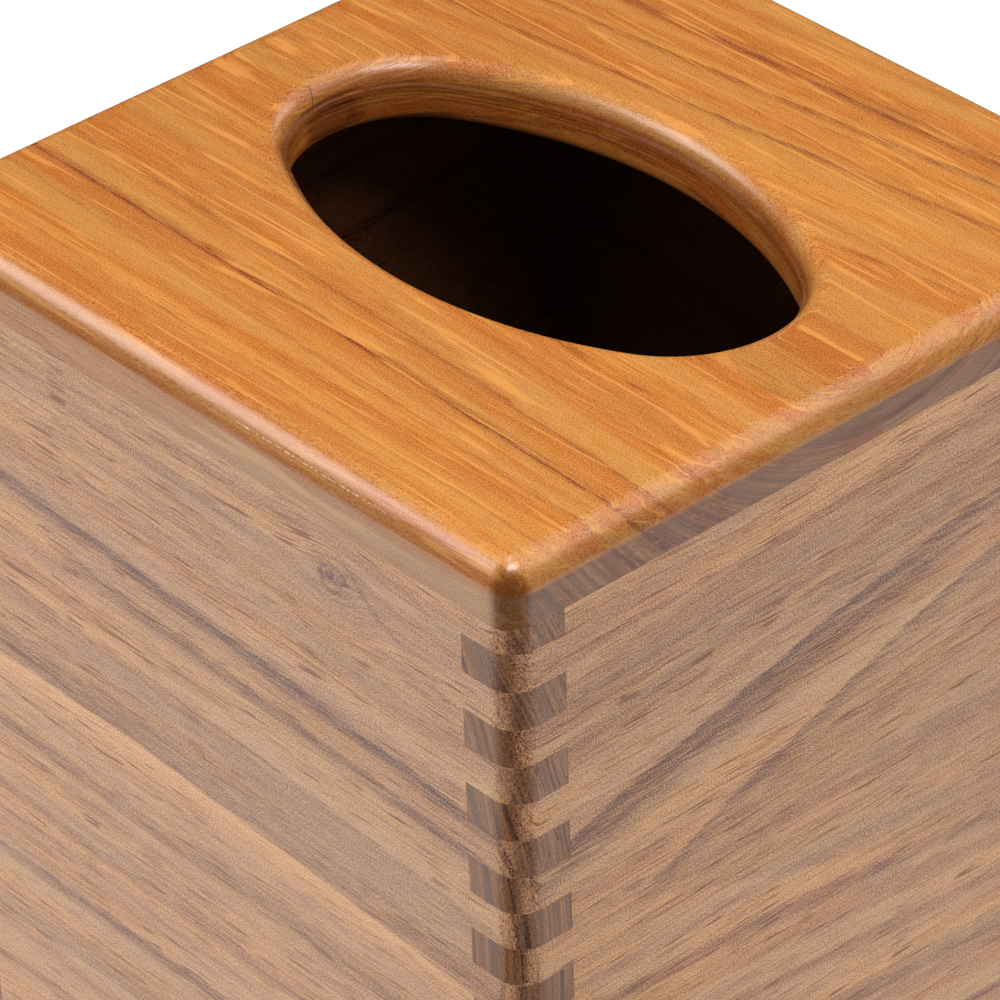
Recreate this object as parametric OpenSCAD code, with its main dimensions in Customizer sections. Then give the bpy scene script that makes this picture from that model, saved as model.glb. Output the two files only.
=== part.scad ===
// Tissue box cover: four boards finger-jointed into an open-bottomed case, under a
// lid board with an oval slot. It drops over a carton of tissues.
// The origin is the middle of the footprint, +Z is up, and the front wall faces -Y.
// The grain of the lid and the long way of its slot run along X.

/* [Case] */
// Outside width of the case, along X
case_w = 140; // [125:1:200]
// Outside depth of the case, along Y
case_d = 140; // [110:1:200]
// Height of the four walls, up to the underside of the lid
wall_h = 141.8; // [60:0.1:220]
// Thickness of the wall boards
wall_t = 10.3; // [7:0.1:18]
// Thickness of the lid board
lid_t = 10.3; // [8:0.1:18]
// Rounding of the lid's upper edge and of the upright corners
edge_r = 4.7; // [1:0.1:6]

/* [Finger joints] */
// Height of one finger
finger_h = 6.55; // [4:0.05:20]

/* [Slot] */
// Length of the slot at its rim, along X
slot_l = 105.6; // [85:0.1:112]
// Width of the slot at its rim
slot_w = 62.8; // [50:0.1:80]
// Radius of the slot's ends at its rim
slot_end_r = 23.6; // [15:0.1:30]
// Rounding of the slot's upper edge
slot_round = 3.6; // [0.5:0.1:5]
// Width of the ledge that the router left under that rounding
slot_ledge = 0.8; // [0.2:0.1:2]
// Rounding of the slot's lower edge
slot_under_r = 2; // [0.5:0.1:4]

/* [Hidden] */
$fn = 96;

// How far a cut runs past the face that it goes through
overrun = 1;
// Steps along each arc of the rim, and along the slot's two rounded edges
arc_steps = 18;
under_steps = 3;
round_steps = 6;
// A top row thinner than this share of a finger joins the row below it
sliver_share = 0.05;

lid_colour = "#cf8949";
long_wall_colour = "#bb9570";
side_wall_colour = "#ab8465";

// Rows of the joint, counted from the bottom. Even rows are fingers of the side walls,
// odd rows are fingers of the front and back walls, and the top row is a part row.
finger_rows = ceil(wall_h / finger_h - sliver_share);

// The rim of the slot is an oval of four arcs that run into each other smoothly:
// two ends of slot_end_r about (+-end_x, 0), two sides of side_r about (0, -+side_y).
end_x = slot_l / 2 - slot_end_r;
half_w = slot_w / 2;
side_r = (pow(end_x, 2) + pow(half_w, 2) - pow(slot_end_r, 2)) / (2 * (half_w - slot_end_r));
side_y = side_r - half_w;
// Angle from X to the line through both centres, where an end meets a side
meet_angle = atan2(side_y, end_x);
// The rim's arcs: centre, radius, first angle and sweep. They run anticlockwise.
rim_arcs = [
    [[end_x, 0], slot_end_r, -meet_angle, 2 * meet_angle],
    [[0, -side_y], side_r, meet_angle, 180 - 2 * meet_angle],
    [[-end_x, 0], slot_end_r, 180 - meet_angle, 2 * meet_angle],
    [[0, side_y], side_r, 180 + meet_angle, 180 - 2 * meet_angle]
];
// Points of the rim, each with the direction that faces away from the slot there
rim = [
    for (arc = rim_arcs, i = [0 : arc_steps - 1]) let (a = arc[2] + arc[3] * i / arc_steps)
        [arc[0].x + arc[1] * cos(a), arc[0].y + arc[1] * sin(a), a]
];
// How far the straight bore of the slot lies inside its rim
bore_inset = slot_round + slot_ledge;
// The slot's section from below the lid to above it, as [inset from the rim, height]:
// the eased lower edge, the bore, the ledge and the rounding on top
section = concat(
    [[bore_inset - slot_under_r, -overrun]],
    [
        for (i = [0 : under_steps]) let (a = 90 * i / under_steps)
            [bore_inset - slot_under_r * (1 - sin(a)), slot_under_r * (1 - cos(a))]
    ],
    [[bore_inset, lid_t - slot_round]],
    [
        for (i = [0 : round_steps]) let (a = 90 * i / round_steps)
            [slot_round * cos(a), lid_t - slot_round * (1 - sin(a))]
    ],
    [[0, lid_t + overrun]]
);

// Heights between which row k of the joint is cut
function row_low(k) = k == 0 ? -overrun : k * finger_h;
function row_high(k) = k == finger_rows - 1 ? wall_h + overrun : (k + 1) * finger_h;

// What a round upright corner leaves outside it, about the middle of its arc,
// on the side of +X and -Y
module corner_waste() {
    translate([0, 0, -overrun]) difference() {
        translate([0, -edge_r - overrun, 0])
            cube([edge_r + overrun, edge_r + overrun, wall_h + 2 * overrun]);
        translate([0, 0, -overrun]) cylinder(r = edge_r, h = wall_h + 4 * overrun);
    }
}

// One end of a wall board, at +X: a notch in every second row from first_notch up,
// and the round corner
module end_cuts(board_l, first_notch) {
    for (k = [first_notch : 2 : finger_rows - 1])
        translate([board_l / 2 - wall_t, -overrun, row_low(k)])
            cube([wall_t + overrun, wall_t + 2 * overrun, row_high(k) - row_low(k)]);
    translate([board_l / 2 - edge_r, edge_r, 0]) corner_waste();
}

// A wall board along X with its outside face at y = 0, looking to -Y
module wall_board(board_l, first_notch) {
    difference() {
        translate([-board_l / 2, 0, 0]) cube([board_l, wall_t, wall_h]);
        end_cuts(board_l, first_notch);
        mirror([1, 0, 0]) end_cuts(board_l, first_notch);
    }
}

// The lid board before its slot: square edges below, round ones on top, with
// a ball at each corner
module lid_blank() {
    inner_w = case_w - 2 * edge_r;
    inner_d = case_d - 2 * edge_r;
    belt_t = lid_t - edge_r;
    translate([-inner_w / 2, -inner_d / 2, 0]) cube([inner_w, inner_d, lid_t]);
    translate([-case_w / 2, -inner_d / 2, 0]) cube([case_w, inner_d, belt_t]);
    translate([-inner_w / 2, -case_d / 2, 0]) cube([inner_w, case_d, belt_t]);
    for (sx = [-1, 1]) {
        translate([sx * inner_w / 2, inner_d / 2, belt_t])
            rotate([90, 0, 0]) cylinder(r = edge_r, h = inner_d);
        for (sy = [-1, 1]) translate([sx * inner_w / 2, sy * inner_d / 2, 0]) {
            cylinder(r = edge_r, h = belt_t);
            translate([0, 0, belt_t]) sphere(r = edge_r);
        }
    }
    for (sy = [-1, 1])
        translate([-inner_w / 2, sy * inner_d / 2, belt_t])
            rotate([0, 90, 0]) cylinder(r = edge_r, h = inner_w);
}

// The slot as one solid: the section carried round the rim, each point as far inside
// the rim's arc as the section says, with a flat cap on both ends
module slot_cut() {
    round_n = len(rim);
    high_n = len(section);
    points = [
        for (edge = section, at = rim)
            [at.x - edge.x * cos(at.z), at.y - edge.x * sin(at.z), edge.y]
    ];
    sides = [
        for (row = [0 : high_n - 2], i = [0 : round_n - 1]) let (next = (i + 1) % round_n)
            [
                row * round_n + i, (row + 1) * round_n + i,
                (row + 1) * round_n + next, row * round_n + next
            ]
    ];
    under = [for (i = [0 : round_n - 1]) i];
    top = [for (i = [round_n - 1 : -1 : 0]) (high_n - 1) * round_n + i];
    polyhedron(points, concat(sides, [under, top]), convexity = 4);
}

module lid_board() {
    color(lid_colour) translate([0, 0, wall_h]) difference() {
        lid_blank();
        slot_cut();
    }
}

module front_wall() {
    color(long_wall_colour) translate([0, -case_d / 2, 0]) wall_board(case_w, 0);
}

module back_wall() {
    color(long_wall_colour) rotate([0, 0, 180]) translate([0, -case_d / 2, 0]) wall_board(case_w, 0);
}

module left_wall() {
    color(side_wall_colour) rotate([0, 0, -90]) translate([0, -case_w / 2, 0]) wall_board(case_d, 1);
}

module right_wall() {
    color(side_wall_colour) rotate([0, 0, 90]) translate([0, -case_w / 2, 0]) wall_board(case_d, 1);
}

lid_board();
front_wall();
back_wall();
left_wall();
right_wall();
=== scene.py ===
import math
from functools import reduce

import bmesh
import bpy
import numpy as np
from bpy.props import FloatProperty, FloatVectorProperty, IntProperty, PointerProperty
from mathutils import Matrix, Vector


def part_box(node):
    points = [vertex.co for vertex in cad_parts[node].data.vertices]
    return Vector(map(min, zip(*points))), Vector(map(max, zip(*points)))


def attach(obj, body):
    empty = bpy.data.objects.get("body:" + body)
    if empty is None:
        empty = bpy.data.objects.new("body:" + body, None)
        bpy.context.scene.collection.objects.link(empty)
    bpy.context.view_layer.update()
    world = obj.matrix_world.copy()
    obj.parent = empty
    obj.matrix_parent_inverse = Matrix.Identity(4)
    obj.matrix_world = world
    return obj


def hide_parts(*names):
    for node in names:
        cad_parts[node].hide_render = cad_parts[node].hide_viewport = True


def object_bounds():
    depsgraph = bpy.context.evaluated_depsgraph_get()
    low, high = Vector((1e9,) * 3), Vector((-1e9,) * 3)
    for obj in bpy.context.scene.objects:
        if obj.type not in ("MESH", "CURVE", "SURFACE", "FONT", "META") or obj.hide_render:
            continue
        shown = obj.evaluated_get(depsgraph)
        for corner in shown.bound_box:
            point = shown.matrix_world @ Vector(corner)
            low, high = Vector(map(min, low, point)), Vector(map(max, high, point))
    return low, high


# Tissue box cover: a lid board with an oval slot on four finger-jointed walls, in oiled teak.
# Lengths are in metres, apart from the wood figure, which is drawn in millimetres.

bl_info = {
    "name": "Tissue Box Cover",
    "version": (1, 0, 0),
    "blender": (4, 5, 0),
    "location": "3D View > Sidebar > Tissue Cover",
    "description": "Builds a finger-jointed teak tissue box cover with its studio and camera",
    "category": "Add Mesh",
}

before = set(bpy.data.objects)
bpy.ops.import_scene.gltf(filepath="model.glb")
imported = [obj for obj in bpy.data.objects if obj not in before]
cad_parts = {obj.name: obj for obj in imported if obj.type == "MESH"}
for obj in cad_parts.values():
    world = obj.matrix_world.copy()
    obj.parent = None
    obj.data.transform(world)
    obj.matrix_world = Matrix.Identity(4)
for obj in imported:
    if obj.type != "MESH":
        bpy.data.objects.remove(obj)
CASE_LOW, CASE_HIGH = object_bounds()
LID_LOW, LID_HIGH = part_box("lid_board")
FRONT_LOW, FRONT_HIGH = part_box("front_wall")
MM = 0.001
BODY = "root"
# A top row thinner than this share of a finger joins the row below it
SLIVER_SHARE = 0.05
# Points closer than this are merged, and edges sharper than this stay sharp
MERGE_WITHIN = 1e-7
SHARP_ANGLE = math.radians(30)
# The tool marks in the slot, as the depth below the ledge and how deep the groove is, in
# millimetres, and the half width of each
TOOL_MARKS = ((0.5, 0.06), (1.3, 0.035), (1.9, 0.05), (2.7, 0.03))
MARK_HALF = 0.16
# Pixel of the photograph, of 1000 by 1000, at which the near top corner lies
CORNER_PIXEL = (507.57, 578.26)
PHOTO_SIDE = 1000
SENSOR_MM = 36


class CoverSizes(bpy.types.PropertyGroup):
    """Sizes of the boards that the frame's boxes don't give"""

    edge_round: FloatProperty(
        name="Edge rounding",
        description="Radius of the lid's upper edge and of the upright corners",
        default=4.7 * MM, unit="LENGTH")
    finger_height: FloatProperty(
        name="Finger height", description="Height of one finger of the corner joints",
        default=6.55 * MM, unit="LENGTH")
    slot_length: FloatProperty(
        name="Slot length", description="Length of the slot at its rim, along X",
        default=105.6 * MM, unit="LENGTH")
    slot_width: FloatProperty(
        name="Slot width", description="Width of the slot at its rim, along Y",
        default=62.8 * MM, unit="LENGTH")
    slot_end_round: FloatProperty(
        name="Slot end radius", description="Radius of the slot's ends at its rim",
        default=23.6 * MM, unit="LENGTH")
    slot_round: FloatProperty(
        name="Slot rounding", description="Radius of the slot's upper edge",
        default=3.6 * MM, unit="LENGTH")
    slot_ledge: FloatProperty(
        name="Slot ledge", description="Width of the ledge that the router left under that edge",
        default=0.8 * MM, unit="LENGTH")
    slot_under_round: FloatProperty(
        name="Slot lower rounding", description="Radius of the slot's lower edge",
        default=2.0 * MM, unit="LENGTH")
    easing: FloatProperty(
        name="Easing", description="Width of the sanded edge beside each glue line",
        default=0.04 * MM, unit="LENGTH")
    side_steps: IntProperty(
        name="Side steps", description="Steps along each side of the lid's outline", default=84)
    corner_steps: IntProperty(
        name="Corner steps", description="Steps round each corner", default=12)


class TeakColours(bpy.types.PropertyGroup):
    """Colours of the wood, as they look on a screen"""

    lid_pale: FloatVectorProperty(
        name="Lid, pale wood", description="The lid between its streaks",
        subtype="COLOR_GAMMA", default=(0.828, 0.556, 0.26))
    lid_deep: FloatVectorProperty(
        name="Lid, deep wood", description="The lid's warmer bands",
        subtype="COLOR_GAMMA", default=(0.783, 0.463, 0.178))
    lid_streak: FloatVectorProperty(
        name="Lid, streaks", description="The red brown streaks of the lid",
        subtype="COLOR_GAMMA", default=(0.55, 0.25, 0.08))
    wall_pale: FloatVectorProperty(
        name="Walls, pale wood", description="The walls between their bands",
        subtype="COLOR_GAMMA", default=(0.80, 0.60, 0.415))
    wall_deep: FloatVectorProperty(
        name="Walls, deep wood", description="The walls' darker bands",
        subtype="COLOR_GAMMA", default=(0.725, 0.52, 0.36))
    wall_streak: FloatVectorProperty(
        name="Walls, streaks", description="The purple grey streaks of the walls",
        subtype="COLOR_GAMMA", default=(0.44, 0.25, 0.19))
    pore: FloatVectorProperty(
        name="Pores", description="The open pores of the wood",
        subtype="COLOR_GAMMA", default=(0.50, 0.23, 0.07))


class StudioValues(bpy.types.PropertyGroup):
    """The camera and the lamps"""

    azimuth: FloatProperty(
        name="Azimuth", description="Turn of the camera from the front towards the right wall",
        default=math.radians(48.860), subtype="ANGLE")
    elevation: FloatProperty(
        name="Elevation", description="Height of the camera above the horizon",
        default=math.radians(34.465), subtype="ANGLE")
    roll: FloatProperty(
        name="Roll", description="Turn of the camera about its own axis",
        default=math.radians(-1.836), subtype="ANGLE")
    lens: FloatProperty(
        name="Lens", description="Focal length on a sensor 36 mm wide, in millimetres",
        default=218.73)
    corner_depth: FloatProperty(
        name="Corner depth", description="Distance of the near top corner along the camera's axis",
        default=834.96 * MM, unit="LENGTH")
    left_power: FloatProperty(
        name="Left softbox", description="Power of the softbox on the left, in watts", default=3.2)
    back_power: FloatProperty(
        name="Back softbox", description="Power of the softbox at the back, in watts", default=1.15)
    right_power: FloatProperty(
        name="Right softbox", description="Power of the softbox behind on the right, in watts",
        default=1.0)
    low_power: FloatProperty(
        name="Low softbox", description="Power of the low softbox behind, in watts", default=1.3)
    overhead_power: FloatProperty(
        name="Overhead softbox",
        description="Power of the wide softbox over the near corner, in watts", default=2.0)
    top_power: FloatProperty(
        name="Top softbox", description="Power of the softbox over the slot, in watts", default=1.0)
    card_power: FloatProperty(
        name="Cards", description="Power of the lit card beside each wall, in watts", default=2.25)
    ambient: FloatProperty(
        name="Ambient", description="Strength of the room's even light", default=0.25)
    dark_room: FloatProperty(
        name="Room overhead", description="How bright the room looks in the gloss", default=0.06)
    floor_gloss: FloatProperty(
        name="Floor gloss", description="How bright the floor looks in the gloss", default=1.1)


def screen_colour(colour):
    """The linear colour, with alpha, that shows as the given screen colour"""
    c = np.array(colour, float)
    linear = np.where(c <= 0.04045, c / 12.92, ((c + 0.055) / 1.055) ** 2.4)
    return (*linear, 1.0)


# Meshes

def smoothed_object(name, points, faces, material, node):
    """A closed mesh of the given points and faces, with coincident points merged and sharp
    edges kept sharp. It replaces the node of the frame."""
    mesh = bpy.data.meshes.new(name)
    mesh.from_pydata(points.reshape(-1, 3).tolist(), [], faces)
    work = bmesh.new()
    work.from_mesh(mesh)
    bmesh.ops.remove_doubles(work, verts=work.verts, dist=MERGE_WITHIN)
    bmesh.ops.recalc_face_normals(work, faces=work.faces)
    work.to_mesh(mesh)
    work.free()
    mesh.shade_smooth()
    mesh.set_sharp_from_angle(angle=SHARP_ANGLE)
    piece = bpy.data.objects.new(name, mesh)
    bpy.context.scene.collection.objects.link(piece)
    mesh.materials.append(material)
    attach(piece, BODY)
    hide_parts(node)
    return piece


def loop_faces(rows, columns, close_rows):
    """Quads of a grid of rows and columns that closes along its rows, and if asked from
    its last row to its first as well"""
    row = np.arange(rows if close_rows else rows - 1)[:, None]
    column = np.arange(columns)[None, :]
    here, above = row * columns, (row + 1) % rows * columns
    beside = (column + 1) % columns
    quads = np.stack([here + column, here + beside, above + beside, above + column], axis=-1)
    return quads.reshape(-1, 4).tolist()


def slot_outline(sizes, angles, inset):
    """Points of the slot's oval at the given directions, moved in by inset. The oval is four
    arcs: the ends turn about (+-end_x, 0), the sides about (0, -+side_y), and a point is its
    arc's centre plus the arc's radius less the inset, along its own direction."""
    end_x = sizes.slot_length / 2 - sizes.slot_end_round
    half_width = sizes.slot_width / 2
    end_r = sizes.slot_end_round
    side_r = (end_x ** 2 + half_width ** 2 - end_r ** 2) / (2 * (half_width - end_r))
    side_y = side_r - half_width
    meet = math.atan2(side_y, end_x)
    c, s = np.cos(angles), np.sin(angles)
    at_end = np.abs(c) >= math.cos(meet)
    x = np.where(at_end, np.sign(c) * end_x + (end_r - inset) * c, (side_r - inset) * c)
    y = np.where(at_end, (end_r - inset) * s, -np.sign(s) * side_y + (side_r - inset) * s)
    return np.stack([x, y], axis=-1)


def square_outline(half, side_steps, corner_steps):
    """Points of a square of the given half width and the outward direction at each. A corner
    holds corner_steps + 1 points in one place, whose directions fan out over a right angle."""
    along = np.linspace(-1, 1, side_steps, endpoint=False)[1:]
    fan = np.linspace(-math.pi / 4, math.pi / 4, corner_steps + 1)
    points, directions = [], []
    for quarter in range(4):
        turn = quarter * math.pi / 2
        c, s = math.cos(turn), math.sin(turn)
        x = np.concatenate([np.full(along.size, 1.0), np.ones(fan.size)]) * half
        y = np.concatenate([along, np.ones(fan.size)]) * half
        angle = np.concatenate([np.zeros(along.size), fan + math.pi / 4])
        points.append(np.stack([x * c - y * s, x * s + y * c], axis=-1))
        directions.append(np.stack([np.cos(angle + turn), np.sin(angle + turn)], axis=-1))
    return np.concatenate(points), np.concatenate(directions)


def lid_mesh(sizes):
    """The lid as one closed band of rings. Each ring runs round the lid, and the rings follow
    the section: up the outside, over the rounded edge, across the top to the slot's rim,
    over the rim, down the bore with its tool marks, and back across the underside."""
    top, low = LID_HIGH.z, LID_LOW.z
    edge, easing = sizes.edge_round, sizes.easing
    base, outward = square_outline(LID_HIGH.x - edge, sizes.side_steps, sizes.corner_steps)
    count = len(base)
    # Round the slot the points lie halfway between even steps and the steps of the outline
    even = np.linspace(0, 2 * math.pi, count, endpoint=False)
    polar = np.unwrap(np.arctan2(base[:, 1], base[:, 0]))
    even = even + (polar - even).mean()
    polar = 0.5 * polar + 0.5 * even
    # The directions of the rim's arcs at which those points lie
    dense = np.linspace(-2 * math.pi, 4 * math.pi, 6001)
    middle = dense.size // 2
    rim = slot_outline(sizes, dense, 0.0)
    rim_polar = np.unwrap(np.arctan2(rim[:, 1], rim[:, 0]))
    rim_polar += dense[middle] - rim_polar[middle]
    angles = np.interp(polar, rim_polar, dense)

    def outer(reach, z):
        return np.column_stack([base + outward * reach, np.full(count, z)])

    def inner(inset, z):
        return np.column_stack([slot_outline(sizes, angles, inset), np.full(count, z)])

    def across(start, end, shares):
        return [start + (end - start) * share for share in shares]

    bore = sizes.slot_round + sizes.slot_ledge
    ledge_z = top - sizes.slot_round
    rings = [outer(edge - easing, low), outer(edge, low + easing)]
    rings += [outer(edge, low + easing + 0.2 * MM), outer(edge, top - edge - 0.2 * MM)]
    for turn in np.linspace(0, math.pi / 2, 19):
        rings.append(outer(edge * math.cos(turn), top - edge + edge * math.sin(turn)))
    rings += across(outer(0, top), inner(0, top), [0.015, 0.3, 0.6, 0.95, 0.985])
    for turn in np.linspace(math.pi / 2, 0, 17):
        rings.append(inner(sizes.slot_round * math.cos(turn),
                           ledge_z + sizes.slot_round * math.sin(turn)))
    rings.append(inner(bore - 0.08 * MM, ledge_z - 0.03 * MM))
    for mark, depth in TOOL_MARKS:
        for step, share in ((-MARK_HALF, 0.0), (0.0, 1.0), (MARK_HALF, 0.0)):
            rings.append(inner(bore - share * depth * MM, ledge_z - (mark + step) * MM))
    under = sizes.slot_under_round
    for turn in np.linspace(0, math.pi / 2, 9):
        rings.append(inner(bore - under * (1 - math.cos(turn)),
                           low + under * (1 - math.sin(turn))))
    rings += across(inner(bore - under, low), outer(edge - easing, low), [0.03, 0.5, 0.97])
    return np.array(rings), loop_faces(len(rings), count, True)


def board_end(sizes, half_length, thickness, finger, inset):
    """Points of a board's end at +X, seen from above, from the outside face to the inside one:
    a finger with a round outer corner, or the square shoulder of a notch. Both hold as many
    points, so that one runs straight up into the other."""
    edge, easing = sizes.edge_round, sizes.easing
    shoulder = half_length - thickness
    turns = np.linspace(0, math.pi / 2, sizes.corner_steps + 1)
    if finger:
        tip = half_length - inset
        arc_x = half_length - edge + (edge - inset) * np.sin(turns)
        arc_y = edge - (edge - inset) * np.cos(turns)
        strip = 0.25 * MM
        x = [shoulder, half_length - edge - strip, *arc_x, tip, tip]
        y = [inset, inset, *arc_y, edge + strip, thickness]
    else:
        count = sizes.corner_steps + 5
        x = np.full(count, shoulder)
        y = np.linspace(easing, thickness, count)
    return (np.concatenate([[shoulder - easing], x, [shoulder]]),
            np.concatenate([[0.0], y, [thickness]]))


def wall_mesh(sizes, length, thickness, height, first_notch):
    """A wall along X with its outside face at y = 0 looking to -Y. Rings seen from above are
    stacked up the wall: a row of the joint is a finger or a notch at both ends, and where the
    row changes a level ring leads from one outline to the other. Fingers have eased edges."""
    easing = sizes.easing
    rows = math.ceil(height / sizes.finger_height - SLIVER_SHARE)

    def ring(z, finger, inset=0.0, all_round=0.0):
        """One ring. inset draws in a finger alone, all_round the whole outside edge."""
        x, y = board_end(sizes, length / 2, thickness, finger, inset)
        if all_round:
            x = x - all_round * (x > length / 2 - sizes.edge_round) * (inset == 0)
            y = np.maximum(y, all_round)
        x, y = np.concatenate([x, -x[::-1]]), np.concatenate([y, y[::-1]])
        return np.column_stack([x, y, np.full(x.size, z)])

    rings = []
    for row in range(rows):
        finger = row % 2 != first_notch % 2
        low = row * sizes.finger_height
        high = height if row == rows - 1 else low + sizes.finger_height
        end_inset = easing if finger else 0.0
        outer_low = easing if row == 0 else 0.0
        outer_high = easing if row == rows - 1 else 0.0
        rings.append(ring(low, finger, end_inset, outer_low))
        if finger or outer_low:
            rings.append(ring(low + easing, finger))
        if finger or outer_high:
            rings.append(ring(high - easing, finger))
        rings.append(ring(high, finger, end_inset, outer_high))
    count = len(rings[0])
    faces = loop_faces(len(rings), count, False)
    faces.append(list(range(count))[::-1])
    faces.append([(len(rings) - 1) * count + i for i in range(count)])
    return np.array(rings), faces


def turned(points, quarter_turns):
    """The points turned about Z by whole quarter turns"""
    x, y = points[..., 0], points[..., 1]
    for _ in range(quarter_turns % 4):
        x, y = -y, x
    return np.stack([x, y, points[..., 2]], axis=-1)


# Wood

class Nodes:
    """The node tree of a material or a world. Each method adds what it needs and returns an
    output, and takes numbers or other outputs."""

    def __init__(self, owner):
        owner.use_nodes = True
        self.owner = owner
        self.tree = owner.node_tree
        self.shader = self.tree.nodes.get("Principled BSDF")

    def put(self, socket, value):
        if isinstance(value, bpy.types.NodeSocket):
            self.tree.links.new(value, socket)
        else:
            socket.default_value = value

    def node(self, kind, **settings):
        made = self.tree.nodes.new(kind)
        for key, value in settings.items():
            setattr(made, key, value)
        return made

    def math(self, operation, *values):
        made = self.node("ShaderNodeMath", operation=operation)
        for socket, value in zip(made.inputs, values):
            self.put(socket, value)
        return made.outputs[0]

    def vector(self, x, y, z):
        made = self.node("ShaderNodeCombineXYZ")
        for socket, value in zip(made.inputs, (x, y, z)):
            self.put(socket, value)
        return made.outputs[0]

    def split(self, vector):
        made = self.node("ShaderNodeSeparateXYZ")
        self.put(made.inputs[0], vector)
        return made.outputs

    def noise(self, place, detail=2.0, roughness=0.5):
        made = self.node("ShaderNodeTexNoise")
        self.put(made.inputs["Vector"], place)
        made.inputs["Scale"].default_value = 1.0
        made.inputs["Detail"].default_value = detail
        made.inputs["Roughness"].default_value = roughness
        return made.outputs[0]

    def cells(self, place):
        made = self.node("ShaderNodeTexVoronoi", voronoi_dimensions="2D")
        self.put(made.inputs["Vector"], place)
        made.inputs["Scale"].default_value = 1.0
        return made.outputs["Distance"], self.split(made.outputs["Color"])

    def ramp(self, value, low, high, to_low=0.0, to_high=1.0):
        made = self.node("ShaderNodeMapRange", interpolation_type="SMOOTHSTEP")
        for socket, number in zip(made.inputs, (value, low, high, to_low, to_high)):
            self.put(socket, number)
        return made.outputs[0]

    def mix(self, factor, first, second, kind="MIX"):
        made = self.node("ShaderNodeMix", data_type="RGBA", blend_type=kind)
        for index, value in ((0, factor), (6, first), (7, second)):
            self.put(made.inputs[index], value)
        return made.outputs[2]

    def choose(self, switch, when_off, when_on):
        """One number or the other"""
        made = self.node("ShaderNodeMix")
        for index, value in ((0, switch), (2, when_off), (3, when_on)):
            self.put(made.inputs[index], value)
        return made.outputs[0]

    def product(self, *values):
        """All the values multiplied"""
        return reduce(lambda one, other: self.math("MULTIPLY", one, other), values)

    def largest(self, *values):
        """The largest of the values"""
        return reduce(lambda one, other: self.math("MAXIMUM", one, other), values)

    def near_zero(self, value, full, gone, strength=1.0):
        """The strength where the value lies within full of zero, and nothing beyond gone"""
        return self.ramp(self.math("ABSOLUTE", value), full, gone, strength, 0.0)

    def tinted(self, factor, colour, tint):
        """The colour, multiplied by the tint as far as the factor says"""
        return self.mix(factor, colour, (*tint, 1.0), "MULTIPLY")

    def shade(self, colour, amount):
        """The colour or the place times an amount"""
        made = self.node("ShaderNodeVectorMath", operation="SCALE")
        self.put(made.inputs[0], colour)
        self.put(made.inputs["Scale"], amount)
        return made.outputs[0]


# What warm and cool patches multiply the wood's colour by
COOL_TINT = (0.97, 1.0, 1.12, 1.0)
WARM_TINT = (1.05, 0.98, 0.84, 1.0)

# What the brightest grit adds to the wood's colour, and how fine it is
GRIT_TINT = (1.0, 0.72, 0.42)
GRIT_PER_MM = 4.6
GRIT_ALONG_PER_MM = 3.2
# How much brighter than the pale wood the straws and the pale zones are
BRIGHT_SHARE = 1.3
# How fine the growth lines of the end grain are
GROWTH_LINES_PER_MM = 2.0

# Streaks of each board, drawn one by one. Each is the height across the board at 60 mm left of its
# middle, at the middle and at 60 mm right, how far it fades above and below, its strength, and where
# along the board it starts and ends. All are in millimetres, apart from the strength.
# The lid's last two rows shade its right and left ends.
STREAK_SPAN = 60
# How far a streak takes to fade at its ends
STREAK_FADE = 12
LID_STREAKS = (
    (49.6, 53.6, 57.8, 0.7, 2.4, 0.8, -90, 90),
    (50.8, 55.2, 59.4, 0.5, 1.2, 0.4, -20, 50),
    (40.0, 46.3, 53.9, 0.6, 2.0, 0.65, -90, 90),
    (30.0, 36.3, 43.6, 0.6, 1.8, 0.65, -90, 90),
    (-3.0, 14.0, 26.0, 0.6, 1.6, 0.4, 34, 90),
    (-27.5, -29.2, -33.4, 0.4, 1.2, 0.3, 12, 90),
    (-37.2, -38.7, -41.6, 0.4, 1.5, 0.5, -90, 90),
    (-44.2, -45.6, -47.6, 0.3, 0.9, 1.0, -90, 90),
    (-43.6, -45.0, -47.0, 1.4, 2.4, 0.4, -90, 90),
    (-49.7, -51.6, -53.2, 0.4, 1.2, 0.3, -90, 90),
    (-59.0, -60.2, -61.2, 0.3, 1.0, 0.3, -90, 90),
    (492.0, 114.0, -12.0, 34.0, 0.5, 0.34, 40, 90),
    (10.0, 10.0, 10.0, 90.0, 110.0, 0.13, -90, -18),
)
FRONT_STREAKS = (
    (138.0, 137.5, 136.5, 1.6, 2.2, 0.35, -90, 90),
    (132.3, 132.5, 128.5, 0.8, 1.6, 0.3, -90, 20),
    (122.0, 121.0, 118.5, 0.8, 2.0, 0.3, -90, 90),
    (182.0, 152.0, 122.0, 0.4, 1.0, 0.55, 27, 53),
    (114.1, 109.5, 105.3, 1.8, 3.6, 1.0, -90, 90),
    (106.0, 102.8, 98.5, 1.4, 2.8, 0.75, -38, 60),
    (91.5, 90.5, 86.5, 1.0, 4.0, 0.4, -90, 90),
    (77.0, 76.5, 72.5, 15.0, 0.5, 0.5, -90, 90),
    (63.3, 62.0, 59.5, 2.4, 2.6, 0.5, -90, 90),
    (50.5, 49.0, 46.5, 1.0, 3.0, 0.4, -90, 90),
    (36.5, 36.0, 32.5, 1.2, 2.6, 0.8, -90, 90),
    (23.0, 24.0, 21.5, 6.0, 0.6, 0.45, -90, 90),
    (12.5, 13.5, 11.5, 1.0, 2.0, 0.5, -90, 90),
)
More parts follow.
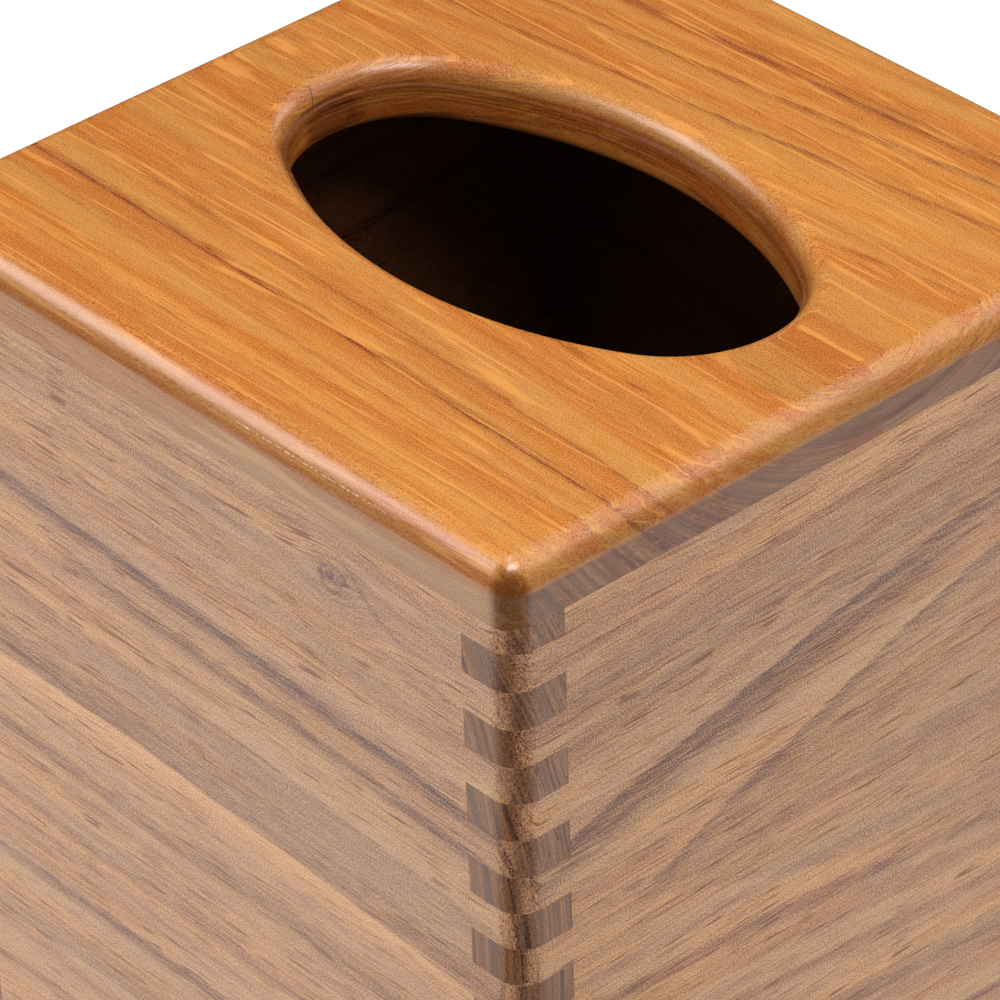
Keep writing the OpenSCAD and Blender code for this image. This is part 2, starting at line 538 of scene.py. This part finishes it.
RIGHT_STREAKS = (
    (133.2, 134.4, 136.5, 0.3, 2.4, 0.5, -90, 90),
    (124.8, 127.6, 131.0, 0.5, 2.6, 0.45, -90, 90),
    (118.0, 123.0, 129.0, 16.0, 14.0, 0.32, -90, 90),
    (115.0, 121.9, 127.5, 0.5, 2.2, 0.45, -90, 90),
    (100.2, 115.2, 124.5, 1.2, 3.6, 1.0, -90, 90),
    (98.0, 112.0, 121.0, 2.0, 6.0, 0.75, -90, 24),
    (108.5, 119.5, 126.5, 0.8, 2.0, 0.5, -40, 90),
    (77.0, 101.8, 117.5, 0.5, 6.0, 0.7, -50, 90),
    (68.5, 62.1, 54.5, 2.2, 2.6, 0.5, -90, 90),
    (53.5, 50.5, 43.5, 1.0, 3.0, 0.4, -90, 90),
    (41.5, 38.5, 31.5, 5.0, 0.8, 0.5, -90, 90),
    (27.5, 26.0, 21.5, 1.0, 2.4, 0.6, -90, 90),
    (15.5, 14.5, 11.5, 1.0, 2.0, 0.4, -90, 90),
)
BACK_STREAKS = (
    (134.5, 132.5, 135.5, 1.2, 2.4, 0.5, -90, 90),
    (118.5, 123.5, 119.5, 1.0, 6.0, 0.5, -90, 90),
    (102.5, 109.5, 104.5, 1.4, 2.4, 0.8, -90, 90),
    (82.5, 90.5, 85.5, 9.0, 0.6, 0.45, -90, 90),
    (64.5, 68.5, 66.5, 1.0, 2.4, 0.5, -90, 90),
    (49.5, 51.5, 50.5, 1.6, 3.0, 0.75, -90, 90),
    (31.5, 32.5, 33.5, 1.0, 4.0, 0.4, -90, 90),
    (17.5, 16.5, 18.5, 1.0, 2.0, 0.6, -90, 90),
)
LEFT_STREAKS = (
    (133.5, 134.5, 132.5, 1.0, 2.4, 0.4, -90, 90),
    (125.5, 120.5, 111.5, 1.6, 3.0, 0.8, -90, 90),
    (110.5, 103.5, 90.5, 0.8, 8.0, 0.55, -90, 90),
    (66.5, 78.5, 86.5, 7.0, 0.8, 0.5, -90, 44),
    (56.5, 63.5, 66.5, 1.6, 2.4, 0.6, -90, 90),
    (43.5, 47.5, 50.5, 1.0, 3.0, 0.4, -90, 90),
    (29.5, 32.5, 34.5, 1.4, 2.4, 0.75, -90, 90),
    (15.5, 17.5, 18.5, 1.0, 2.0, 0.4, -90, 90),
)


def bent_line(wood, along, heights):
    """The height of a gently bent line: a parabola through the heights at STREAK_SPAN left of
    the middle, at the middle and at STREAK_SPAN right"""
    left, middle, right = heights
    slope = (right - left) / (2 * STREAK_SPAN)
    bend = (right + left - 2 * middle) / (2 * STREAK_SPAN ** 2)
    steepness = wood.math("MULTIPLY_ADD", along, bend, slope)
    return wood.math("MULTIPLY_ADD", steepness, along, middle)


def streak_mask(wood, along, across, streak):
    """How strongly a streak shows at a place: a band below a gently bent line, which fades
    over its own distance on each side and towards its two ends"""
    *heights, above, below, strength, start, end = streak
    drop = wood.math("SUBTRACT", bent_line(wood, along, heights), across)
    mask = wood.product(wood.ramp(drop, -above, 0.0), wood.ramp(drop, 0.0, below, 1.0, 0.0))
    if start > -STREAK_SPAN:
        mask = wood.product(mask, wood.ramp(along, start, start + STREAK_FADE))
    if end < STREAK_SPAN:
        mask = wood.product(mask, wood.ramp(along, end - STREAK_FADE, end, 1.0, 0.0))
    return wood.product(mask, strength)


def patch_mask(wood, along, across, patch):
    """A patch between two gently bent lines, the upper and the lower, each drawn by its three
    heights as a streak is. It ends where the lines meet."""
    upper, lower, strength = patch
    mask = strength
    for heights, sign in ((upper, 1), (lower, -1)):
        gap = wood.math("SUBTRACT", bent_line(wood, along, heights), across)
        mask = wood.product(wood.ramp(wood.product(gap, sign), -0.3, 0.5), mask)
    return mask


def board_places(wood, grain_axis, face_axis, face_sign, face_at, centre, pith_height):
    """Places in a board, in millimetres: along its grain, across its face, across as carried,
    down from the face, and off the pith. The height across is carried down the growth rings,
    which are circles about the pith, so that the streaks run on over rounded edges and across
    the board's ends. The pith lies pith_height outside the face, or inside it if that is below
    zero."""
    object_place = wood.node("ShaderNodeTexCoord").outputs["Object"]
    place = wood.split(wood.shade(object_place, 1 / MM))
    along, face = place["XYZ".index(grain_axis)], place["XYZ".index(face_axis)]
    across = place[3 - "XYZ".index(grain_axis) - "XYZ".index(face_axis)]
    depth = wood.math("MULTIPLY_ADD", face, -face_sign, face_at)
    depth = wood.math("MAXIMUM", depth, 0.0)
    off = wood.math("SUBTRACT", across, centre)
    growth = wood.product(wood.math("ADD", depth, 2 * pith_height), depth)
    carried = wood.math("ABSOLUTE", wood.math("MULTIPLY_ADD", off, off, growth))
    carried = wood.product(wood.math("SQRT", carried), wood.math("SIGN", off))
    from_pith = wood.math("ADD", depth, pith_height)
    square = wood.math("ADD", wood.product(off, off), wood.product(from_pith, from_pith))
    ring = wood.math("SQRT", square)
    return along, across, wood.math("ADD", carried, centre), depth, ring


def fanned(wood, along, across, fan):
    """The height across with the slope of the growth bands taken out. The slope is tilt, plus
    spread times off / (1 + (off / reach)^2), where off is the distance from the middle."""
    tilt, spread, middle, reach = fan
    off = wood.math("SUBTRACT", across, middle)
    share = wood.product(off, 1 / reach)
    slope = wood.math("DIVIDE", wood.product(off, spread),
                      wood.math("MULTIPLY_ADD", share, share, 1.0))
    return wood.math("SUBTRACT", across, wood.product(along, wood.math("ADD", slope, tilt)))


def teak(name, colours, streaks, grain_axis, face_axis, face_sign, face_at, centre, seed,
         pith_height, fan, look, pales, knot=None, patch=None):
    """Teak as a solid: streaks and bands that follow the growth rings, warm and cool patches,
    fibres, a fine grit, and pores drawn out along the grain. colours are pale, deep, streak and
    pore wood. look is how far the bands wander, how wide they are, how strongly the fibres, the
    grit and the pale straws show, and how much wood is free of pores. pales are pale zones,
    drawn as streaks are. A knot has its place along and across, and its length and width."""
    wood = Nodes(bpy.data.materials.new(name))
    wander, band_width, grain, gritty, straws, smooth = look
    pale, deep, streak_wood, pore_wood = (screen_colour(c) for c in colours)
    along, across, carried, depth, ring = board_places(
        wood, grain_axis, face_axis, face_sign, face_at, centre, pith_height)

    def stretched(length, width, shift=0.0, of=None):
        """The place counted in cells of that length along the grain and width across it"""
        return wood.vector(
            wood.math("MULTIPLY_ADD", along, 1 / length, seed + shift),
            wood.math("MULTIPLY_ADD", across if of is None else of, 1 / width, seed - shift),
            wood.product(depth, 1 / width))

    def swing(value, size):
        """A noise about zero instead of about its middle, as wide as the size says"""
        return wood.math("MULTIPLY_ADD", value, size, -size / 2)

    def hairs(length, width, thin, shift):
        """Hair lines along the grain, where a drawn out noise crosses its middle"""
        value = wood.noise(stretched(length, width, shift, wavy), 0.0)
        return wood.near_zero(wood.math("SUBTRACT", value, 0.5), thin * 0.5, thin)

    knot_mask = None
    if knot:
        knot_along, knot_across, knot_length, knot_width = knot
        far_along = wood.math("MULTIPLY_ADD", along, 1 / knot_length, -knot_along / knot_length)
        off = wood.math("SUBTRACT", carried, knot_across)
        far_across = wood.product(off, 1 / knot_width)
        square = wood.math("MULTIPLY_ADD", far_along, far_along,
                           wood.product(far_across, far_across))
        # The grain bends round the knot, which has rings of its own
        near = wood.math("EXPONENT", wood.product(square, -0.35))
        carried = wood.math("SUBTRACT", carried, wood.product(off, near, 0.75))
        square = wood.math("ADD", square, swing(wood.noise(stretched(3.0, 2.0)), 0.6))
        distance = wood.math("SQRT", wood.math("MAXIMUM", square, 0.0))
        rings = wood.math("SINE", wood.product(distance, 16.0))
        knot_mask = wood.product(wood.ramp(square, 0.3, 0.8, 0.85, 0.0),
                                 wood.math("MULTIPLY_ADD", rings, 0.3, 0.7))

    wavy = wood.math("ADD", carried, swing(wood.noise(stretched(60.0, 16.0), 2.0), 2.6 * wander))
    fibre = wood.noise(stretched(5.0, 0.26, 11.0, wavy), 1.0, 0.8)
    ragged = wood.math("ADD", wavy, swing(wood.noise(stretched(8.0, 0.9, 3.0), 2.0, 0.7), 1.0))
    ragged = wood.math("ADD", ragged, swing(fibre, 1.3))
    banded = fanned(wood, along, ragged, fan)

    band = wood.noise(stretched(150.0, band_width, 5.0, banded), 3.0, 0.6)
    warm = wood.noise(stretched(85.0, band_width, 7.0, banded), 2.0, 0.7)
    colour = wood.mix(wood.ramp(band, 0.38, 0.62), pale, deep)
    tint = wood.mix(wood.ramp(warm, 0.36, 0.64), COOL_TINT, WARM_TINT)
    colour = wood.mix(1.0, colour, tint, "MULTIPLY")

    masks = [streak_mask(wood, along, ragged, streak) for streak in streaks]
    if knot_mask is not None:
        masks.append(knot_mask)
    if patch:
        masks.append(patch_mask(wood, along, ragged, patch))
    streaky = wood.largest(0.0, *masks)
    breakup = wood.noise(stretched(9.0, 0.28, 9.0, wavy), 2.0, 0.8)
    streaky = wood.product(streaky, wood.ramp(breakup, 0.38, 0.58, 0.35, 1.15))
    bright = (*(BRIGHT_SHARE * np.array(pale[:3])), 1.0)
    for zone in pales:
        colour = wood.mix(streak_mask(wood, along, ragged, zone), colour, bright)
    colour = wood.mix(streaky, colour, streak_wood)

    # Fine grit and fibres, then pale straws
    across_cells, depth_cells = wood.product(across, GRIT_PER_MM), wood.product(depth, GRIT_PER_MM)
    grit = wood.noise(wood.vector(across_cells, depth_cells, wood.product(along, GRIT_ALONG_PER_MM)),
                      1.0, 0.7)
    tooth = wood.math("ADD", swing(grit, gritty), swing(fibre, 0.45 * grain))
    colour = wood.mix(1.0, colour, wood.shade(GRIT_TINT, tooth), "ADD")
    clumps = wood.ramp(wood.noise(stretched(22.0, 1.6, 15.0, wavy), 1.0), 0.48, 0.62)
    straw = wood.product(hairs(50.0, 2.0, 0.07, 13.0), clumps, straws)
    colour = wood.mix(straw, colour, bright)

    # Pores: hair lines that break off, and single dashes of many lengths. They crowd in some
    # bands and leave others smooth
    crowd = wood.ramp(warm, smooth, smooth + 0.24, 0.08, 1.0)
    breaks = wood.ramp(wood.noise(stretched(8.0, 0.5, 17.0, wavy), 0.0), 0.45, 0.57)
    lines = wood.product(hairs(28.0, 0.8, 0.046, 21.0), breaks)
    cell, chance = wood.cells(stretched(24.0, 0.7, 23.0, wavy))
    reach = wood.math("MULTIPLY_ADD", chance[0], 0.045, 0.034)
    dashes = wood.ramp(wood.math("DIVIDE", cell, reach), 0.6, 1.1, 1.0, 0.0)
    dashes = wood.product(dashes, wood.ramp(chance[1], 0.1, 0.7))
    pore = wood.product(wood.largest(lines, dashes), wood.largest(crowd, streaky))
    growth = wood.vector(wood.product(ring, GROWTH_LINES_PER_MM), wood.product(along, 0.01), seed)
    ring_line = wood.noise(growth, 2.0, 0.8)
    return wood, dict(colour=colour, pore=pore, fibre=fibre, ring_line=ring_line, grit=grit,
                      pore_wood=pore_wood, depth=depth, along=along, across=across)


def finish_teak(wood, parts, grain_axis, pore_strength, end_tint, corner_shade_tint, inside,
                inside_shade_tint, roughness, end_from=0.45, side=None, side_sheen_tint=None, polish=0.0):
    """Adds what depends on where and how a face lies: dark end grain with its growth lines, corners
    tinted darker as painted shade, which may be polished, and painted shade on the inside. inside is a
    mask, and so is side, which tints the sides of a lid with a painted sheen and keeps its end grain to
    them. end_from is how far a face turns towards the grain before it counts as end grain. Then links
    colour, roughness and bump."""
    normal = wood.split(wood.node("ShaderNodeTexCoord").outputs["Normal"])
    facing = wood.math("ABSOLUTE", normal["XYZ".index(grain_axis)])
    end = wood.ramp(facing, end_from, 0.67 + 0.33 * end_from)
    corner = wood.ramp(wood.math("ABSOLUTE", wood.product(normal[0], normal[1])), 0.0, 0.42)
    far_along = wood.math("ABSOLUTE", parts["along"])
    corner = wood.product(corner, wood.ramp(far_along, 58.0, 64.0))
    colour = parts["colour"]
    if side is not None:
        end = wood.product(end, wood.largest(side, inside))
        # Painted sheen: the lid's upright sides are tinted greyer and bluer, as the white floor's
        # reflection makes them look
        colour = wood.tinted(side, colour, side_sheen_tint)
    open_pores = wood.math("MULTIPLY_ADD", inside, -0.7 * pore_strength, pore_strength)
    colour = wood.mix(wood.product(parts["pore"], open_pores), colour, parts["pore_wood"])
    lines = wood.ramp(parts["ring_line"], 0.36, 0.64, 0.72, 1.25)
    colour = wood.mix(end, colour, wood.shade(wood.tinted(1.0, colour, end_tint), lines))
    # Painted shade: the rounded corners are tinted darker
    colour = wood.tinted(corner, colour, corner_shade_tint)
    # Painted shade: the inside is tinted darker, where little light reaches
    colour = wood.tinted(inside, colour, inside_shade_tint)
    wood.put(wood.shader.inputs["Base Color"], colour)
    rough = wood.math("MULTIPLY_ADD", parts["grit"], 0.25, roughness - 0.12)
    rough = wood.math("MULTIPLY_ADD", corner, -polish, rough)
    wood.put(wood.shader.inputs["Roughness"], rough)
    wood.shader.inputs["Specular IOR Level"].default_value = 1.0
    bump = wood.node("ShaderNodeBump")
    bump.inputs["Strength"].default_value = 0.6
    bump.inputs["Distance"].default_value = 0.06 * MM
    raised = wood.product(parts["fibre"], 0.4)
    wood.put(bump.inputs["Height"], wood.math("SUBTRACT", raised, parts["pore"]))
    wood.put(wood.shader.inputs["Normal"], bump.outputs[0])
    return wood.owner


def lid_teak(colours, sizes):
    """The lid's orange teak, flat sawn, with its pith above the board. Its slot and its rounded edges
    are darkened as painted shade, and its upright sides are tinted as a painted sheen. It also holds
    the lid's marks: a hair crack, a scratch and pale chips."""
    wood, parts = teak(
        "lid teak", (colours.lid_pale, colours.lid_deep, colours.lid_streak, colours.pore),
        LID_STREAKS, "X", "Z", 1, LID_HIGH.z / MM, centre=3.0, seed=11.3, pith_height=34.0,
        fan=(0.03, 0.0068, 5.0, 25.0), look=(0.55, 5.5, 0.5, 0.65, 0.7, 0.44),
        pales=((-57.5, -58.5, -60.5, 1.0, 4.0, 0.35, -90, 90),))
    along, across, depth = parts["along"], parts["across"], parts["depth"]
    far_x = wood.product(along, 2 * MM / sizes.slot_length)
    far_y = wood.product(across, 2 * MM / sizes.slot_width)
    oval = wood.math("MULTIPLY_ADD", far_x, far_x, wood.product(far_y, far_y))
    # The slot's bore, which finish_teak darkens as painted shade
    inside = wood.product(wood.ramp(oval, 0.9, 1.1, 1.0, 0.0), wood.ramp(depth, 2.6, 3.5))

    # Painted shade: the rounded edges and the slot's ledge are darkened where less light falls on them
    upward = wood.split(wood.node("ShaderNodeTexCoord").outputs["Normal"])[2]
    side = wood.product(wood.ramp(oval, 1.2, 1.4), wood.ramp(depth, 4.4, 5.1))
    rounded = wood.product(wood.ramp(upward, 0.4, 0.95, 1.0, 0.0),
                           wood.ramp(depth, 4.4, 5.1, 1.0, 0.0), 0.28)
    ledge = wood.product(wood.ramp(upward, 0.1, 0.6), inside, wood.ramp(depth, 3.0, 3.4), 0.5)

    # A hair crack in the rim at the slot's far end
    crack = wood.math("MULTIPLY_ADD", depth, 0.33, wood.math("ADD", across, 2.1))
    crack = wood.product(
        wood.near_zero(crack, 0.05, 0.22, 0.8), wood.ramp(depth, 0.3, 0.8),
        wood.ramp(depth, 2.8, 3.4, 1.0, 0.0), wood.ramp(along, -40.0, -39.0, 1.0, 0.0))

    # A scratch along the front edge, which turns into pale chips
    line = wood.math("MULTIPLY_ADD", parts["fibre"], 0.3, wood.math("SUBTRACT", depth, 2.55))
    line = wood.product(
        wood.near_zero(line, 0.03, 0.14), wood.ramp(across, -66.0, -65.0, 1.0, 0.0),
        wood.ramp(wood.noise(wood.vector(along, 0.0, 0.0), 1.0), 0.45, 0.55))
    scratch = wood.product(line, wood.ramp(along, -34.0, -26.0), wood.ramp(along, 8.0, 14.0, 0.6, 0.0))
    chips = wood.product(line, wood.ramp(along, 8.0, 14.0), wood.ramp(along, 36.0, 48.0, 0.6, 0.0))

    # The painted shade of the edges and the ledge, together with the dark crack and scratch
    dark = wood.largest(rounded, ledge, crack, scratch)
    parts["colour"] = wood.shade(parts["colour"], wood.math("SUBTRACT", 1.0, dark))
    parts["colour"] = wood.mix(chips, parts["colour"], (0.95, 0.8, 0.6, 1.0))
    return finish_teak(
        wood, parts, "X", pore_strength=0.45, end_tint=(0.52, 0.43, 0.45),
        corner_shade_tint=(0.48, 0.40, 0.39), inside=inside, inside_shade_tint=(0.66, 0.54, 0.42),
        roughness=0.30, end_from=0.93, side=side, side_sheen_tint=(0.74, 0.94, 1.7), polish=0.15)


def wall_teak(name, colours, streaks, grain_axis, face_axis, face_sign, **figure):
    """The greyer teak of a wall, with open pores, and painted shade on its inside between the other
    walls
    """
    face_at = (CASE_HIGH.y if face_axis == "Y" else CASE_HIGH.x) / MM
    wood, parts = teak(
        name, (colours.wall_pale, colours.wall_deep, colours.wall_streak, colours.pore),
        streaks, grain_axis, face_axis, face_sign, face_at, centre=79.0,
        look=(1.0, 5.0, 1.0, 1.5, 0.3, 0.32), **figure)
    # The inner faces between the other walls, which finish_teak darkens as painted shade
    between_walls = wood.math("LESS_THAN", wood.math("ABSOLUTE", parts["along"]), 61.0)
    inside = wood.product(between_walls, wood.ramp(parts["depth"], 9.4, 10.3))
    return finish_teak(
        wood, parts, grain_axis, pore_strength=0.85,
        end_tint=(0.48, 0.42, 0.40) if face_axis == "Y" else (0.53, 0.40, 0.24),
        corner_shade_tint=(0.92, 0.85, 0.8), inside=inside, inside_shade_tint=(0.24, 0.16, 0.12),
        roughness=0.36)


# The four walls: the node, the piece, how many quarter turns it is from the front, the first
# row of its joint that is a notch, and its figure
WALLS = (
    ("front_wall", "front_board", 0, 0, dict(
        streaks=FRONT_STREAKS, grain_axis="X", face_axis="Y", face_sign=-1,
        seed=3.1, pith_height=135, fan=(-0.04, 0.0, 80.0, 25.0),
        pales=((76.4, 75.8, 73.2, 1.2, 8.0, 0.85, -90, 90),), knot=(32.0, 132.9, 5.4, 4.2))),
    ("right_wall", "right_board", 1, 1, dict(
        streaks=RIGHT_STREAKS, grain_axis="Y", face_axis="X", face_sign=1,
        seed=7.7, pith_height=-135, fan=(0.02, 0.011, 84.0, 24.0),
        pales=((141.0, 140.0, 139.5, 2.0, 3.0, 0.2, -90, 90),),
        patch=((77.0, 101.8, 117.5), (90.0, 66.5, 56.0), 0.24))),
    ("back_wall", "back_board", 2, 0, dict(
        streaks=BACK_STREAKS, grain_axis="X", face_axis="Y", face_sign=1,
        seed=15.9, pith_height=120, fan=(0.02, 0.004, 70.0, 30.0),
        pales=((78.0, 80.0, 79.0, 1.0, 6.0, 0.45, -90, 90),))),
    ("left_wall", "left_board", 3, 1, dict(
        streaks=LEFT_STREAKS, grain_axis="Y", face_axis="X", face_sign=-1,
        seed=21.4, pith_height=-140, fan=(-0.03, -0.009, 75.0, 25.0),
        pales=((99.0, 94.0, 84.0, 5.0, 1.0, 0.45, -90, 90),), knot=(-28.0, 54.5, 5.2, 4.0))),
)


# Operators

class TISSUE_OT_lid(bpy.types.Operator):
    """Makes the lid board with its oval slot"""

    bl_idname = "tissue.lid"
    bl_label = "Lid Board"

    def execute(self, context):
        sizes, colours = context.scene.cover_sizes, context.scene.teak_colours
        points, faces = lid_mesh(sizes)
        smoothed_object("lid_with_slot", points, faces, lid_teak(colours, sizes),
                        "lid_board")
        return {"FINISHED"}


class TISSUE_OT_walls(bpy.types.Operator):
    """Makes the four walls with their finger joints"""

    bl_idname = "tissue.walls"
    bl_label = "Walls"

    def execute(self, context):
        sizes, colours = context.scene.cover_sizes, context.scene.teak_colours
        thickness = FRONT_HIGH.y - FRONT_LOW.y
        height = FRONT_HIGH.z
        for node, name, quarters, first_notch, figure in WALLS:
            if quarters % 2 == 0:
                length, reach, slot = CASE_HIGH.x - CASE_LOW.x, CASE_HIGH.y, "wall_teak"
            else:
                length, reach, slot = CASE_HIGH.y - CASE_LOW.y, CASE_HIGH.x, "side_teak"
            points, faces = wall_mesh(sizes, length, thickness, height, first_notch)
            points[..., 1] -= reach
            material = wall_teak(name + " teak", colours, **figure)
            smoothed_object(name, turned(points, quarters), faces, material, node)
        return {"FINISHED"}


class TISSUE_OT_camera(bpy.types.Operator):
    """Places the camera so that the near top corner lies where the photograph has it"""

    bl_idname = "tissue.camera"
    bl_label = "Camera"

    def execute(self, context):
        values = context.scene.studio_values
        turn, rise, roll = values.azimuth, values.elevation, values.roll
        back = Vector((math.sin(turn) * math.cos(rise), -math.cos(turn) * math.cos(rise),
                       math.sin(rise)))
        level_right = Vector((math.cos(turn), math.sin(turn), 0.0))
        level_down = level_right.cross(back)
        right = level_right * math.cos(roll) - level_down * math.sin(roll)
        down = level_right * math.sin(roll) + level_down * math.cos(roll)
        focal = values.lens / SENSOR_MM * PHOTO_SIDE
        shift_x = (CORNER_PIXEL[0] - PHOTO_SIDE / 2) / focal
        shift_y = (CORNER_PIXEL[1] - PHOTO_SIDE / 2) / focal
        corner = Vector((CASE_HIGH.x, CASE_LOW.y, CASE_HIGH.z))
        place = corner - values.corner_depth * (right * shift_x + down * shift_y - back)
        data = bpy.data.cameras.new("camera")
        data.lens, data.sensor_width = values.lens, SENSOR_MM
        data.clip_start = 0.05
        camera = bpy.data.objects.new("camera", data)
        axes = Matrix((right, -down, back)).transposed()
        camera.matrix_world = Matrix.Translation(place) @ axes.to_4x4()
        context.scene.collection.objects.link(camera)
        context.scene.camera = camera
        return {"FINISHED"}


# The softboxes: the direction from the cover's top, the distance, and the width and height.
# Each one's power is a value of StudioValues.
SOFTBOXES = (
    ("left", (-0.66, -0.53, 0.54), 1.0, (0.47, 0.5)),
    ("back", (0.08, 0.57, 0.82), 1.0, (0.6, 0.7)),
    ("low", (0.02, 0.92, 0.38), 1.0, (0.5, 0.3)),
    ("overhead", (0.37, -0.18, 0.88), 0.62, (0.36, 0.2)),
    ("right", (0.55, 0.54, 0.62), 1.0, (0.45, 0.45)),
    ("top", (-0.13, 0.07, 0.98), 0.8, (0.3, 0.3)),
)
# The lit cards that brighten the walls, with direction and distance. The gloss doesn't see them.
CARDS = (
    ("front card", (-0.75, -1.0, 0.1), 0.9),
    ("right card", (1.0, 0.75, 0.1), 1.02),
)
CARD_SIZE = (0.9, 0.4)


def softbox(name, direction, distance, size, power):
    """A rectangular lamp that looks at the middle of the cover's top from a direction"""
    data = bpy.data.lights.new(name, "AREA")
    data.shape, data.size, data.size_y, data.energy = "RECTANGLE", size[0], size[1], power
    lamp = bpy.data.objects.new(name, data)
    towards = Vector(direction).normalized()
    lamp.matrix_world = (Matrix.Translation(towards * distance + Vector((0, 0, CASE_HIGH.z)))
                         @ towards.to_track_quat("Z", "Y").to_matrix().to_4x4())
    bpy.context.scene.collection.objects.link(lamp)
    return lamp


# Half the width of the floor
FLOOR_HALF = 3.0
# How far the floor lies below the cover, so that the two don't meet in one plane
FLOOR_DROP = 0.05 * MM
# Half the width of the part of the floor that lies inside the cover
COVERED_HALF = 59 * MM


def floor_paper(values):
    """The floor's white paper. The camera sees it fade into the white of the room far from the cover.
    The gloss sees a painted reflection: a glowing patch round the cover, with the cover's own shadow
    painted into it as a dark wedge towards the camera. Inside the cover the paper is nearly black, as
    painted shade."""
    paper = Nodes(bpy.data.materials.new("floor paper"))
    paper.shader.inputs["Roughness"].default_value = 1.0
    paper.shader.inputs["Specular IOR Level"].default_value = 0.0
    paper.shader.inputs["Emission Color"].default_value = (1.0, 1.0, 1.0, 1.0)
    rays = paper.node("ShaderNodeLightPath").outputs
    glossy = rays["Is Glossy Ray"]
    x, y, _ = paper.split(paper.node("ShaderNodeTexCoord").outputs["Object"])
    reach = paper.math("SQRT", paper.math("MULTIPLY_ADD", x, x, paper.product(y, y)))
    outside = paper.math("GREATER_THAN", paper.largest(
        paper.math("ABSOLUTE", x), paper.math("ABSOLUTE", y)), COVERED_HALF)
    ahead = paper.math("MAXIMUM", paper.math("SUBTRACT", x, y), 0.001)
    aside = paper.math("ABSOLUTE", paper.math("ADD", x, y))
    # Painted reflection: for the gloss alone the paper glows round the cover, with the cover's shadow
    # painted in as a dark wedge towards the camera
    lit = paper.product(
        paper.ramp(reach, 0.30, 0.40, 1.0, 0.0),
        paper.ramp(paper.math("DIVIDE", aside, ahead), 0.3, 1.4),
        paper.ramp(x, -0.05, 0.15, 1.0, 0.8), outside)
    seen = paper.product(paper.largest(rays["Is Camera Ray"], rays["Is Transmission Ray"]),
                         outside, paper.ramp(reach, 0.4, 1.3, 0.35, 1.0))
    glow = paper.math("ADD", seen, paper.product(glossy, lit, values.floor_gloss))
    paper.put(paper.shader.inputs["Emission Strength"], glow)
    # Painted shade: inside the cover the paper is nearly black, so that the cover's inside stays dark
    shade = paper.choose(glossy, paper.choose(outside, 0.02, 0.8), 0.0)
    paper.put(paper.shader.inputs["Base Color"], shade)
    return paper.owner


class TISSUE_OT_stage(bpy.types.Operator):
    """Makes the pale floor, the room's light and the softboxes"""

    bl_idname = "tissue.stage"
    bl_label = "Stage"

    def execute(self, context):
        values = context.scene.studio_values
        mesh = bpy.data.meshes.new("floor")
        corners = [(x * FLOOR_HALF, y * FLOOR_HALF, 0) for x, y in ((-1, -1), (1, -1), (1, 1), (-1, 1))]
        mesh.from_pydata(corners, [], [(0, 1, 2, 3)])
        mesh.materials.append(floor_paper(values))
        floor = bpy.data.objects.new("floor", mesh)
        floor.location.z = -FLOOR_DROP
        context.scene.collection.objects.link(floor)

        world = bpy.data.worlds.new("studio")
        context.scene.world = world
        sky = Nodes(world)
        light = sky.tree.nodes["Background"]
        light.inputs["Color"].default_value = (1.0, 1.0, 1.0, 1.0)
        rays = sky.node("ShaderNodeLightPath").outputs
        seen = sky.math("MAXIMUM", rays["Is Camera Ray"], rays["Is Transmission Ray"])
        strength = sky.choose(rays["Is Glossy Ray"], values.ambient, values.dark_room)
        strength = sky.choose(seen, strength, 1.0)
        sky.put(light.inputs["Strength"], strength)

        for name, direction, distance, size in SOFTBOXES:
            softbox(name + " softbox", direction, distance, size, getattr(values, name + "_power"))
        for name, direction, distance in CARDS:
            card = softbox(name, direction, distance, CARD_SIZE, values.card_power)
            card.visible_glossy = False
        context.scene.view_settings.view_transform = "Standard"
        return {"FINISHED"}


class TISSUE_PT_panel(bpy.types.Panel):
    """Lists the cover's pieces and values"""

    bl_label = "Tissue Cover"
    bl_space_type = "VIEW_3D"
    bl_region_type = "UI"
    bl_category = "Tissue Cover"

    def draw(self, context):
        for operator in OPERATORS:
            self.layout.operator(operator.bl_idname)
        for group_name, _ in GROUPS:
            group = getattr(context.scene, group_name)
            for name in group.bl_rna.properties.keys():
                if name not in ("rna_type", "name"):
                    self.layout.prop(group, name)


OPERATORS = (TISSUE_OT_lid, TISSUE_OT_walls, TISSUE_OT_camera, TISSUE_OT_stage)
GROUPS = (
    ("cover_sizes", CoverSizes),
    ("teak_colours", TeakColours),
    ("studio_values", StudioValues),
)


def register():
    """Registers the groups of values, the operators and the panel"""
    for name, group in GROUPS:
        bpy.utils.register_class(group)
        setattr(bpy.types.Scene, name, PointerProperty(type=group))
    for made in (*OPERATORS, TISSUE_PT_panel):
        bpy.utils.register_class(made)


def unregister():
    """Takes them all out again, in the opposite order"""
    for made in reversed((*OPERATORS, TISSUE_PT_panel)):
        bpy.utils.unregister_class(made)
    for name, group in reversed(GROUPS):
        delattr(bpy.types.Scene, name)
        bpy.utils.unregister_class(group)


def main():
    """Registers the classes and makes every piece"""
    register()
    bpy.ops.tissue.lid()
    bpy.ops.tissue.walls()
    bpy.ops.tissue.camera()
    bpy.ops.tissue.stage()


if __name__ == "__main__":
    main()
